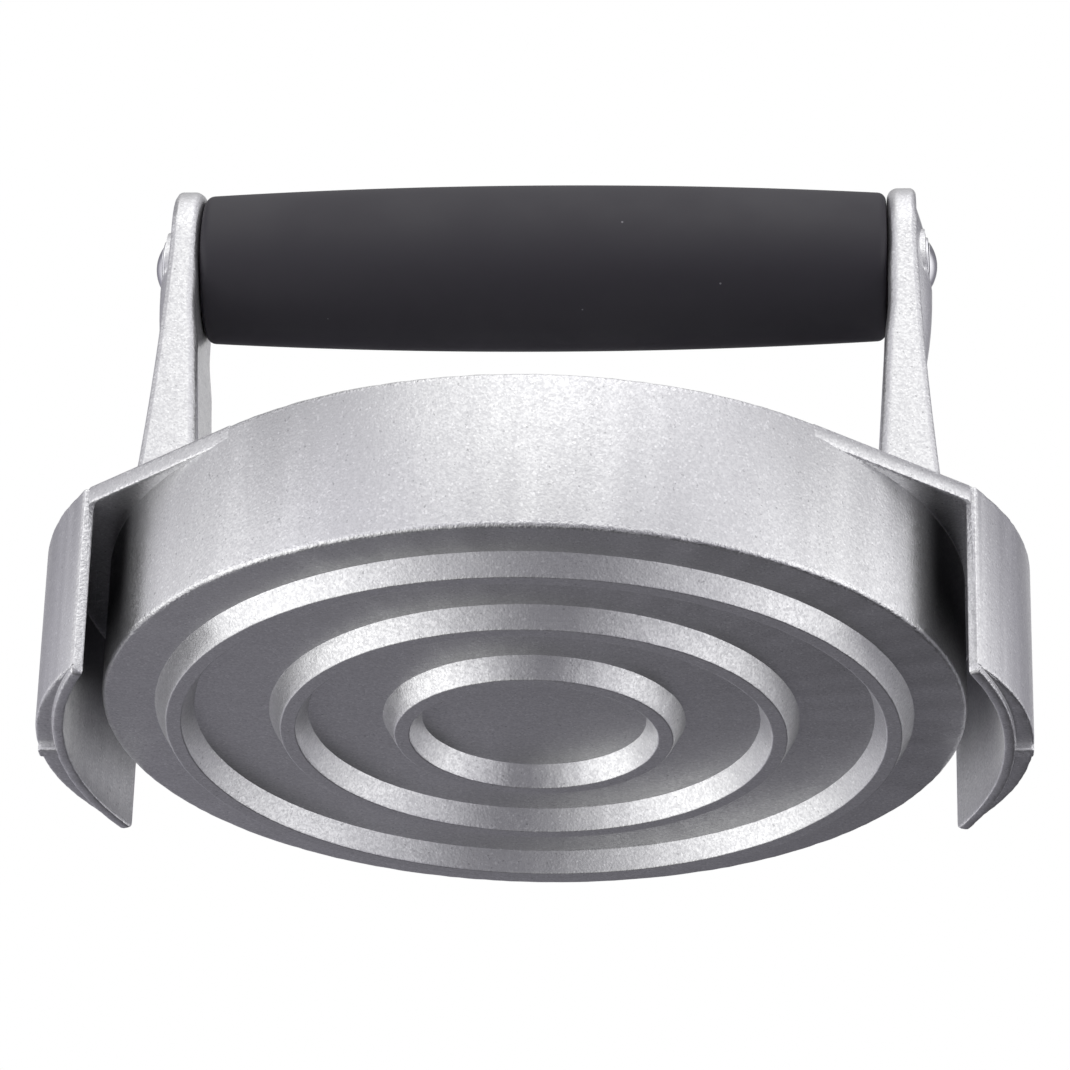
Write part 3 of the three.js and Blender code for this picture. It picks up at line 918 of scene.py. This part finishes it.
def wing_form(size):
    """One guide wing on the +X side, swept round the plate."""
    top = size.rim_level
    seat = size.guide_radius - 0.8 * MM
    roof = size.flange_level + 1.2 * MM
    tip = size.guide_tip
    step_round, inner_round, foot_round, top_round = 0.15 * MM, 0.25 * MM, 0.3 * MM, 0.6 * MM
    least_step, tuck, end_round, end_wear = 0.02 * MM, 0.04 * MM, 0.3 * MM, 0.75
    steps = 96

    def section(angle, inset, worn):
        out = max(bulge_radius(size, angle), size.guide_radius) - inset
        from_end = (size.guide_half - abs(angle)) * size.guide_radius
        low = inset + tip - math.sqrt(max(0.0, tip**2 - max(0.0, tip - from_end) ** 2))
        step_level = max(size.guide_recess + inset, low + least_step)
        corners = [
            (size.slot_radius + inset, low, inner_round),
            (size.guide_radius - inset, low, foot_round),
            (size.guide_radius - inset, step_level, step_round, 0),
            (out, step_level, foot_round),
            (out, top - inset, top_round),
            (seat, top - tuck - inset, 0),
            (seat, roof, 0),
            (size.slot_radius + inset, roof, 0),
        ]
        outline = rounded(corners, steps=4)
        return [(*around(radius, angle), level, max(wear, worn)) for radius, level, wear in outline]

    ends = [(back, inset, end_wear) for inset, back in rounding(end_round, 6)]
    ends += [(back * MM, 0.0, 0.0) for back in (0.42, 0.55, 0.7, 0.9, 1.15)]
    ends = [(size.guide_half - back / size.guide_radius, *rest) for back, *rest in ends]
    inner = size.guide_half - 1.5 * MM / size.guide_radius
    middle = [(inner * (2 * step / steps - 1), 0.0, 0.0) for step in range(steps + 1)]
    row = [(-angle, *rest) for angle, *rest in ends] + middle + ends[::-1]
    return lofted([section(*spot) for spot in row])


def rib_form(size):
    """The narrow rib that crosses the recess at a wing's foot."""
    half = size.rib_width / 2
    out = size.guide_radius + size.guide_bulge - 0.03 * MM
    root = size.guide_radius - 0.6 * MM
    soft, foot, sink, side = 0.18 * MM, 0.06 * MM, 0.5 * MM, 0.25 * MM
    rings = []
    levels = [(size.guide_recess + sink, 0.0), (sink, 0.0)]
    for a in (0.0, 0.5, 1.05, math.pi / 2):
        levels.append((foot + soft * (1 - math.sin(a)), soft * (1 - math.cos(a))))
    for level, inset in levels:
        corners = [
            (root, -half + inset, 0),
            (out - inset, -half + inset, side),
            (out - inset, half - inset, side),
            (root, half - inset, 0),
        ]
        low = level < soft + foot
        outline = rounded(corners, steps=4)
        rings.append([(x, y, level, 1.0 if low else wear) for x, y, wear in outline])
    return lofted(rings)


def flange_form(size):
    """The flange on the +X side: straight edges from the wing's ends touch the round wall."""
    corner = size.guide_radius - size.flange_inset
    touch = size.guide_half + math.acos(size.plate_radius / corner)
    inner = size.plate_radius - size.edge_round
    reach = size.guide_radius - 0.6 * MM
    soft, past = 0.35 * MM, 0.55 * MM
    low, top = size.flange_level, size.rim_level
    wall_steps, edge_steps = 16, 32

    def outline(inset):
        near = size.plate_radius - inset
        turn_out = touch - math.atan(math.sqrt(reach**2 - near**2) / near)
        spots = [(inner, touch * (1 - 2 * k / wall_steps)) for k in range(wall_steps + 1)]
        spots.append((near, -touch))
        spots += [(reach, turn_out * (2 * k / edge_steps - 1)) for k in range(edge_steps + 1)]
        return spots + [(near, touch)]

    edge = [(level, inset, 1.0) for level, inset in rounding(soft, 5)]
    levels = [(low, past, 0.0)]
    levels += [(low + level, inset, wear) for level, inset, wear in edge[::-1]]
    levels += [(low + past, 0.0, 0.0), (top - past, 0.0, 0.0)]
    levels += [(top - level, inset, wear) for level, inset, wear in edge]
    levels.append((top, past, 0.0))
    rings = []
    for level, inset, wear in levels:
        ring = []
        for radius, angle in outline(inset):
            worn = wear if radius > inner + SAME else 0.0
            ring.append((*around(radius, angle), level, worn))
        rings.append(ring)
    return lofted(rings)


def arm_faces(size, level):
    """Where an arm's inner and outer faces stand at a level."""

    def inner_at(height):
        part = (size.arm_seat - height) / (size.arm_seat - size.arm_bend)
        part = min(max(part, 0.0), 1.0)
        lean = max(0.0, size.arm_bend - height) * math.tan(size.arm_lean)
        return size.arm_gap / 2 - size.arm_step * part * part * (3 - 2 * part) - lean

    rim = size.rim_level
    at_pin = size.arm_gap / 2 + size.arm_thickness
    at_rim = inner_at(rim) + size.arm_foot
    if level >= PIN.z:
        return inner_at(level), at_pin
    if level <= rim:
        return inner_at(level), at_rim
    # The outer face is a curve with three control points, the middle one about half way up.
    # The share t of the curve is found from the level.
    bend = rim + (PIN.z - rim) * 0.52
    a, b, c = PIN.z - 2 * bend + rim, 2 * (bend - PIN.z), PIN.z - level
    root = math.sqrt(b * b - 4 * a * c)
    t = (-b - root) / (2 * a)
    if not 0 <= t <= 1:
        t = (-b + root) / (2 * a)
    middle = at_pin + size.arm_waist
    outer = (1 - t) ** 2 * at_pin + 2 * t * (1 - t) * middle + t * t * at_rim
    return inner_at(level), outer


def arm_outline(size):
    """Half of an arm's outline from the foot to the crown: depth, level and way out."""
    shank_steps, head_steps, sink = 64, 40, 1.0 * MM
    start = size.plate_level + size.plate_thickness - sink
    middle = PIN.z + size.arm_rise
    rises = [(middle - start) * step / shank_steps for step in range(shank_steps)]
    shank = [(size.arm_head, start + rise, 0.0) for rise in rises]
    head = []
    for step in range(head_steps + 1):
        angle = math.pi / 2 * step / head_steps
        depth, rise = around(size.arm_head, angle)
        head.append((max(depth, 0.0), middle + rise, angle))
    return [(depth, level, Vector(around(1, angle))) for depth, level, angle in shank + head]


def arm_form(size):
    """One arm on the +X side, with rounded edges all round its outline."""
    outline = arm_outline(size)
    steps, hold = 8, 0.35 * MM
    layers = []
    for side, soft, rub in (("in", size.arm_inner_round, 0.35), ("out", size.arm_round, 0.8)):
        run = [(side, soft + hold, 0.0, 0.0)]
        for step, (inset, depth) in enumerate(rounding(soft, steps)):
            run.append((side, inset, depth, rub if 1 < step < steps - 1 else 0.0))
        layers += run if side == "in" else run[::-1]
    rings = []
    for side, inset, depth, wear in layers:
        ring = []
        for half, run in ((1, outline), (-1, outline[::-1][1:])):
            for y, z, outward in run:
                spot_y = max(y - outward.x * inset, 0.0)
                spot_z = z - outward.y * inset
                inner, outer = arm_faces(size, spot_z)
                x = inner + depth if side == "in" else outer - depth
                ring.append((x, half * spot_y, spot_z, wear))
        rings.append(ring)
    vertices, faces = lofted(rings, cap=False)
    count = len(rings[0])
    crown = len(outline) - 1
    for layer, flip in ((0, False), (len(rings) - 1, True)):
        base = layer * count
        for k in range(crown):
            face = [base + k, base + k + 1, base + count - 2 - k, base + count - 1 - k]
            if k == crown - 1:
                del face[2]
            faces.append(tuple(face if flip else face[::-1]))
    ends = [layer * count for layer in range(len(rings))]
    ends += [layer * count + count - 1 for layer in reversed(range(len(rings)))]
    faces.append(tuple(ends))
    return vertices, faces


def seat_level(size):
    """How far from the press's middle the rivet's seat lies."""
    return size.arm_gap / 2 + size.arm_thickness + size.boss_face


def boss_form(size):
    """The mound outside an arm's head, with the round pad and the seat for the rivet."""
    seat, bore = seat_level(size), size.boss_seat
    angles = [math.tau * k / SMALL_FACETS for k in range(SMALL_FACETS)]
    edge, fall, sink, melt = 0.5 * MM, 1.3 * MM, 0.1 * MM, 0.3 * MM
    out_steps, near_steps, halvings = 24, 10, 30

    def way_out(y, up):
        reach = size.boss_up if up > 0 else size.boss_down
        return (y / size.boss_wide) ** 2 + (up / reach) ** 2

    def foot_radius(angle):
        low, high = 0.0, 2 * size.boss_down
        for _ in range(halvings):
            middle = (low + high) / 2
            y, up = around(middle, angle)
            low, high = (middle, high) if way_out(y, up + size.boss_drop) < 1 else (low, middle)
        return low

    def surface(radius, angle, wear):
        y, up = around(radius, angle)
        over = min(max((radius - size.boss_pad + edge / 2) / edge, 0.0), 1.0)
        pad = seat - fall * over * over
        mound = size.boss_crown * (1 - way_out(y, up + size.boss_drop))
        rise = arm_faces(size, PIN.z + up)[1] - sink + mound
        blend = math.sqrt((rise - pad) ** 2 + melt**2)
        return 0.5 * (rise + pad + blend), y, PIN.z + up, wear

    def flat_ring(level, radii):
        ring = []
        for radius, angle in zip(radii, angles):
            y, up = around(radius, angle)
            ring.append((level, y, PIN.z + up, 0.0))
        return ring

    feet = [foot_radius(angle) for angle in angles]
    rings = [flat_ring(seat - 3 * MM, feet)]
    near = bore + 1.0 * MM
    for step in range(out_steps, 0, -1):
        out = [near + (max(far, near + melt) - near) * step / out_steps for far in feet]
        rings.append([surface(radius, angle, 0.0) for radius, angle in zip(out, angles)])
    for step in range(near_steps, -1, -1):
        wear = (0.6, 0.5, 0.5)[step] if step < 3 else 0.0
        radius = bore + (near - bore) * step / near_steps
        ring = [surface(radius, angle, wear) for angle in angles]
        rings.append([(max(x, seat), *rest) for x, *rest in ring])
    for inset in (0.02 * MM, 0.1 * MM):
        rings.append(flat_ring(seat, [bore - inset] * SMALL_FACETS))
    return lofted(rings)


def dome_form(size):
    """A low dome with a brim and the shank that closes the axle, along Z from the pin's middle."""
    steps, head = 24, size.rivet_head
    base = seat_level(size) + 0.5 * MM
    end, shank, tip, chamfer = base - 7 * MM, 1.85 * MM, 1.6 * MM, 0.2 * MM
    crown = base + size.rivet_brim + size.rivet_rise
    ball = (head**2 + size.rivet_rise**2) / (2 * size.rivet_rise)
    limit = math.asin(head / ball)
    profile = [(0, end), (tip, end), (shank, end + chamfer), (shank, base)]
    profile += [(head - 0.06 * MM, base), (head, base + 0.05 * MM)]
    for step in range(steps):
        angle = limit * (1 - step / steps)
        profile.append((ball * math.sin(angle), crown - ball * (1 - math.cos(angle))))
    profile.append((0, crown))
    return along_pin(turned([(*spot, 0.0) for spot in profile], SMALL_FACETS))


def washer_form(size):
    """A thin ring with soft edges under the dome."""
    low = seat_level(size) + 0.05 * MM
    high = low + 0.4 * MM
    bore = 2.1 * MM
    corners = [
        (bore, low, 0.06 * MM),
        (size.washer_radius, low, 0.1 * MM),
        (size.washer_radius, high, 0.16 * MM),
        (bore, high, 0.06 * MM),
    ]
    outline = without_repeats(rounded(corners, steps=3, hold=0.05 * MM))
    return along_pin(turned(outline, SMALL_FACETS, closed=True))


# ---------------------------------------------------------------- operators


class PRESS_OT_pan(bpy.types.Operator):
    """Makes the plate and its upright wall"""

    bl_idname = "press.pan"
    bl_label = "Pan"

    def execute(self, context):
        cast("pan_with_plate", pan_form(context.scene.press_sizes))
        return {"FINISHED"}


class PRESS_OT_ridges(bpy.types.Operator):
    """Makes the rings under the plate"""

    bl_idname = "press.ridges"
    bl_label = "Ridges"

    def execute(self, context):
        size = context.scene.press_sizes
        values = {
            "Count": size.ridge_count,
            "Facets": RIDGE_FACETS,
            "First Radius": size.first_ridge,
            "Pitch": size.ridge_pitch,
            "Height": size.ridge_height,
            "Crest Width": size.ridge_crest,
            "Base Width": size.ridge_base,
            "Round": size.ridge_round,
            "Sink": 1.0 * MM,
            "Unevenness": size.ridge_wave,
            "Plate Level": size.plate_level,
            "Finish": cast_coat(),
        }
        mesh = grown(ridge_rings(), values)
        coated = (cast_coat(), "press_body", "cast_aluminium", ["press_casting"])
        placed("pressing_ridges", mesh, *coated)
        return {"FINISHED"}


class PRESS_OT_guides(bpy.types.Operator):
    """Makes the flange and the guide wing on each side"""

    bl_idname = "press.guides"
    bl_label = "Guides"

    def execute(self, context):
        size = context.scene.press_sizes
        flange = flange_form(size)
        wing = joined(wing_form(size), rib_form(size))
        cast("right_guide_flange", flange)
        cast("left_guide_flange", half_turned(flange))
        cast("right_guide_wing", wing)
        cast("left_guide_wing", half_turned(wing))
        return {"FINISHED"}


class PRESS_OT_arms(bpy.types.Operator):
    """Makes both arms with their bosses"""

    bl_idname = "press.arms"
    bl_label = "Arms"

    def execute(self, context):
        size = context.scene.press_sizes
        arm = joined(arm_form(size), boss_form(size))
        cast("right_arm", arm)
        cast("left_arm", half_turned(arm))
        return {"FINISHED"}


class PRESS_OT_rivets(bpy.types.Operator):
    """Makes the dome-headed rivets and their washers"""

    bl_idname = "press.rivets"
    bl_label = "Rivets"

    def execute(self, context):
        size = context.scene.press_sizes
        for side in ("right", "left"):
            for piece, part in (("dome_rivet", dome_form(size)), ("washer", washer_form(size))):
                mesh = meshed(part if side == "right" else half_turned(part))
                steel = (bright_steel(), "press_body", "bright_steel", [f"{side}_{piece}"])
                placed(f"{side}_bright_{piece}", mesh, *steel)
        return {"FINISHED"}


class PRESS_OT_grip(bpy.types.Operator):
    """Makes the barrel-shaped sleeve of the grip"""

    bl_idname = "press.grip"
    bl_label = "Grip"

    def execute(self, context):
        size = context.scene.press_sizes
        values = {
            "Rings": 96,
            "Facets": GRIP_FACETS,
            "Half Length": size.grip_half,
            "Middle Radius": size.grip_middle,
            "End Radius": size.grip_end,
            "End Round": size.grip_round,
            "Bore Radius": size.grip_bore,
            "Pin Level": PIN.z,
            "Finish": soft_grip(),
        }
        mesh = grown(barrel_form(), values)
        placed("barrel_grip", mesh, soft_grip(), "grip", "soft_grip", ["grip_sleeve"])
        return {"FINISHED"}


class PRESS_OT_hidden_parts(bpy.types.Operator):
    """Gives the grip's core and the axle their finishes"""

    bl_idname = "press.hidden_parts"
    bl_label = "Core and axle"

    def execute(self, context):
        for node, finish in (("grip_core_tube", moulded_core()), ("handle_axle", turned_axle())):
            for slot in frame["nodes"][node].material_slots:
                slot.material = finish
        return {"FINISHED"}


# ---------------------------------------------------------------- studio


def heading(azimuth, elevation):
    """A direction from the press: azimuth from the front towards +X, elevation above the floor."""
    a, e = math.radians(azimuth), math.radians(elevation)
    return (math.sin(a) * math.cos(e), -math.cos(a) * math.cos(e), math.sin(e))


def cosine(degrees):
    """The cosine of an angle in degrees."""
    return math.cos(math.radians(degrees))


@once
def soft_panel():
    """A soft-edged round panel of light, seen in one direction."""
    limits = {"Full Within": 0.9, "None Beyond": 0.4}
    colours = {"Tint": (1, 1, 1, 1), "Sum": COLOUR}
    inputs = {"Way": VECTOR, "Towards": (0, 0, 1), **limits, **colours}
    tree, given = group("soft_panel", SHADER, inputs)
    near = nearness(tree, given["Way"], given["Towards"])
    full = between(tree, near, given["None Beyond"], given["Full Within"])
    lit = blended(tree, full, (0, 0, 0, 1), given["Tint"])
    return finished(tree, {"Sum": blended(tree, 1.0, given["Sum"], lit, blend_type="ADD")})


# Azimuth, elevation and level of each soft panel round the press. A panel is full within the
# first of PANEL_EDGE's angles in degrees, and gone beyond the second.
PANEL_EDGE = (4, 44)
DIM = 0.3  # panels under this level are tinted
PANELS = (
    (180, 72, 0.50),
    (90, 77, 0.17),
    (5, 62, 0.90),
    (58, 48, 0.17),
    (-27, 40, 0.33),
    (110, 37, 0.03),
    (-112, 33, 0.12),
    (25, 30, 0.41),
    (-60, 24, 0.15),
    (78, 21, 0.39),
    (-145, 18, 0.18),
    (-7, 15, 0.39),
    (130, 12, 0.28),
    (-92, 10, 0.55),
    (45, 7, 0.19),
    (-40, 1, 0.27),
    (98, -1, 0.77),
    (-125, -4, 0.12),
    (13, -7, 0.12),
    (-72, -12, 0.64),
    (65, -15, 0.54),
    (-157, -18, 0.21),
    (-20, -21, 0.11),
    (-105, -27, 0.49),
    (33, -30, 0.03),
    (-52, -37, 0.47),
    (85, -40, 0.22),
    (-85, -56, 0.31),
    (53, -62, 0.13),
)
# The white backdrop behind the press, as glossy rays see it: its direction, and its own edge.
BACKDROP, BACKDROP_EDGE = (180, 24), (8, 22)


def light_studio(studio):
    """Soft panels in the world's shader. Camera and transmission rays see plain white there."""
    world = bpy.data.worlds.new("studio")
    bpy.context.scene.world = world
    world.use_nodes = True
    tree = world.node_tree
    tree.nodes.clear()
    way = put(tree, "ShaderNodeTexCoord").outputs["Generated"]
    full, none = (cosine(angle) for angle in PANEL_EDGE)
    total = (0, 0, 0, 1)
    for azimuth, elevation, level in PANELS:
        tint = studio.tint if level < DIM else (1, 1, 1)
        shape = {"Towards": heading(azimuth, elevation), "Full Within": full, "None Beyond": none}
        inputs = {"Way": way, **shape, "Tint": solid(tint, level), "Sum": total}
        total = use(tree, soft_panel(), inputs)["Sum"]
    lit = put(tree, "ShaderNodeBackground", {"Color": total, "Strength": studio.level})
    white = put(tree, "ShaderNodeBackground", {"Color": (1, 1, 1, 1), "Strength": 1.0})
    rays = by_name(put(tree, "ShaderNodeLightPath").outputs)
    behind = nearness(tree, way, heading(*BACKDROP))
    full, none = (cosine(angle) for angle in BACKDROP_EDGE)
    shiny = rays["Is Glossy Ray"] * between(tree, behind, none, full)
    seen = rays["Is Camera Ray"].calc("MAXIMUM", rays["Is Transmission Ray"])
    inputs = {0: seen.calc("MAXIMUM", shiny), 1: lit.outputs[0], 2: white.outputs[0]}
    mixed = put(tree, "ShaderNodeMixShader", inputs)
    put(tree, "ShaderNodeOutputWorld", {"Surface": mixed.outputs[0]})


def floor_finish(studio):
    """A pale matt floor, seen only by the camera and only from above."""
    made = bpy.data.materials.new("floor")
    made.use_nodes = True
    tree = made.node_tree
    shader = tree.nodes["Principled BSDF"]
    feed(tree, shader, Base_Color=solid(studio.floor), Roughness=0.9, Specular_IOR_Level=0.0)
    camera = Number(put(tree, "ShaderNodeLightPath").outputs["Is Camera Ray"])
    back = Number(put(tree, "ShaderNodeNewGeometry").outputs["Backfacing"])
    clear = put(tree, "ShaderNodeBsdfTransparent")
    inputs = {0: camera * (1.0 - back), 1: clear.outputs[0], 2: shader.outputs[0]}
    mixed = put(tree, "ShaderNodeMixShader", inputs)
    plug(tree, tree.nodes["Material Output"].inputs["Surface"], mixed.outputs[0])
    return made


def turned_axes(one, other, angle):
    """Two axes turned in their plane, the first towards the second."""
    cos, sin = math.cos(angle), math.sin(angle)
    return one * cos + other * sin, other * cos - one * sin


def place_camera(studio, size):
    """The camera where the photograph was taken."""
    spot = Vector((0, -math.cos(studio.elevation), math.sin(studio.elevation))) * studio.distance
    ahead = -spot.normalized()
    right = ahead.cross(Vector((0, 0, 1))).normalized()
    up = right.cross(ahead)
    ahead, right = turned_axes(ahead, right, studio.pan)
    ahead, up = turned_axes(ahead, up, studio.tilt)
    right, up = turned_axes(right, up, studio.roll)
    axes = Matrix((right, up, -ahead)).transposed().to_4x4()
    data = bpy.data.cameras.new("camera")
    data.lens = studio.lens
    data.sensor_width = 36
    data.clip_start, data.clip_end = 0.01, 100
    camera = bpy.data.objects.new("camera", data)
    bpy.context.scene.collection.objects.link(camera)
    lift = Matrix.Translation((0, 0, size.plate_level))
    turned_about = Matrix.Rotation(studio.heading, 4, "Z")
    camera.matrix_world = lift @ turned_about @ Matrix.Translation(spot) @ axes
    bpy.context.scene.camera = camera


class PRESS_OT_studio(bpy.types.Operator):
    """Makes the floor, the light and the camera"""

    bl_idname = "press.studio"
    bl_label = "Studio"

    def execute(self, context):
        studio = context.scene.press_studio
        side, level = 3.0, -0.2 * MM
        mesh = bpy.data.meshes.new("floor")
        corners = ((-side, -side), (side, -side), (side, side), (-side, side))
        mesh.from_pydata([(x, y, level) for x, y in corners], [], [(0, 1, 2, 3)])
        mesh.materials.append(floor_finish(studio))
        floor = bpy.data.objects.new("floor", mesh)
        context.scene.collection.objects.link(floor)
        light_studio(studio)
        place_camera(studio, context.scene.press_sizes)
        context.scene.view_settings.view_transform = "Standard"
        return {"FINISHED"}


STEPS = (
    PRESS_OT_pan,
    PRESS_OT_ridges,
    PRESS_OT_guides,
    PRESS_OT_arms,
    PRESS_OT_rivets,
    PRESS_OT_grip,
    PRESS_OT_hidden_parts,
    PRESS_OT_studio,
)


class PRESS_PT_panel(bpy.types.Panel):
    """Sizes, finishes and building steps of the press"""

    bl_idname = "PRESS_PT_panel"
    bl_label = "Burger press"
    bl_space_type = "VIEW_3D"
    bl_region_type = "UI"
    bl_category = "Press"

    def draw(self, context):
        layout = self.layout
        for step in STEPS:
            layout.operator(step.bl_idname)
        for settings in ("press_sizes", "press_finishes", "press_studio"):
            group_of = getattr(context.scene, settings)
            box = layout.box()
            for name in type(group_of).__annotations__:
                box.prop(group_of, name)


GROUPS = {"press_sizes": PressSizes, "press_finishes": PressFinishes, "press_studio": PressStudio}


def register():
    """Registers the settings, the steps and the panel."""
    for cls in (*GROUPS.values(), *STEPS, PRESS_PT_panel):
        bpy.utils.register_class(cls)
    for name, cls in GROUPS.items():
        setattr(bpy.types.Scene, name, PointerProperty(type=cls))


def unregister():
    """Takes them away again."""
    for name in GROUPS:
        delattr(bpy.types.Scene, name)
    for cls in reversed((*GROUPS.values(), *STEPS, PRESS_PT_panel)):
        bpy.utils.unregister_class(cls)


def main():
    register()
    bpy.ops.press.pan()
    bpy.ops.press.ridges()
    bpy.ops.press.guides()
    bpy.ops.press.arms()
    bpy.ops.press.rivets()
    bpy.ops.press.grip()
    bpy.ops.press.hidden_parts()
    bpy.ops.press.studio()


if __name__ == "__main__":
    main()
